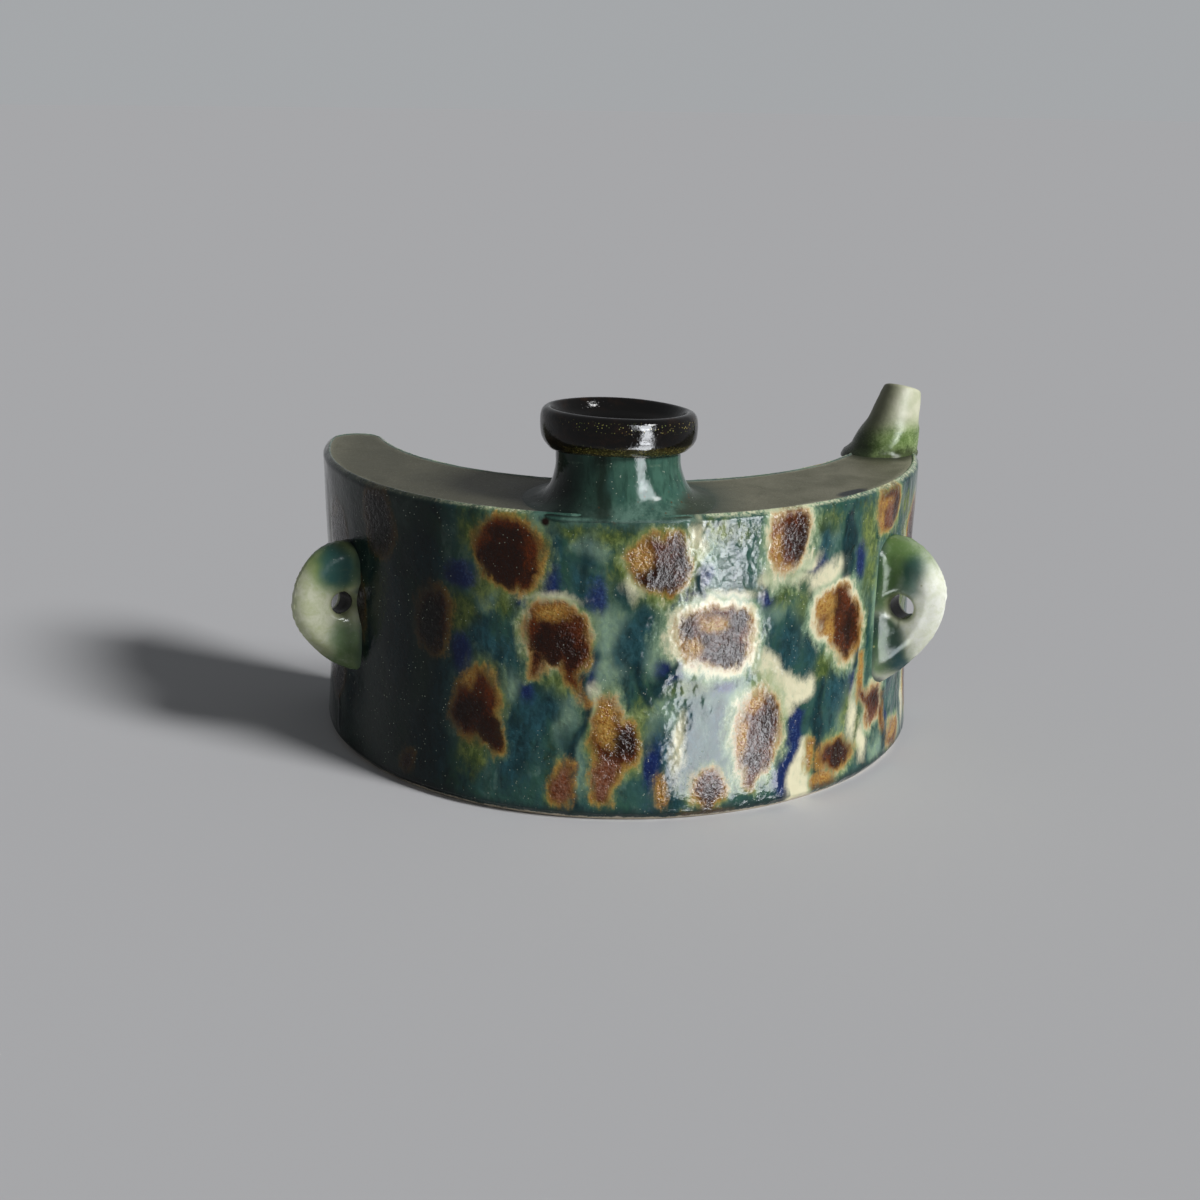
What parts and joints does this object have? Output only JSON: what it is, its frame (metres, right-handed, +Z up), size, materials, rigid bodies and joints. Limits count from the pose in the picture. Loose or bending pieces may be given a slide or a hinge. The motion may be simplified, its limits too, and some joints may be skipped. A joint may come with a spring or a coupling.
{
  "type": "pilgrim flask",
  "caption": "Crescent-shaped slab-built ceramic hip flask with a wide collared neck, a small corner spout and pierced carrying lugs, in splashed three-colour glaze.",
  "frame": {"origin": "on the ground, under the middle of the flask's bounding box", "axes": "+X along the width towards the spout's tip, -Y out of the convex front, +Z up through the mouth"},
  "size_m": [0.2072, 0.1124, 0.12],
  "materials": {
    "front_glaze": "glossy splashed glaze, copper green over cream with brown iron spots and cobalt streaks",
    "back_glaze": "the same splashed glaze, plainer, on the hollow back",
    "slab_glaze": "thin dry olive-grey glaze, semi-matt",
    "neck_glaze": "glossy teal copper glaze",
    "rim_glaze": "glossy brown-black iron glaze with gold-brown specks",
    "spout_glaze": "satin cream glaze, green at the foot",
    "lug_glaze": "glossy cream glaze with green and teal patches",
    "base_glaze": "bare buff stoneware below, pooled dark glaze on the bevel",
    "bare_clay": "fired clay, unglazed, smoothed by hand"
  },
  "bodies": {
    "root": {"front_wall": "front_glaze", "back_wall": "back_glaze", "base_slab": "base_glaze", "top_slab": "slab_glaze", "lower_seam_coil": "bare_clay", "upper_seam_coil": "bare_clay", "neck": "neck_glaze", "rim": "rim_glaze", "spout": "spout_glaze", "left_lug": "lug_glaze", "right_lug": "lug_glaze"}
  },
  "joints": []
}
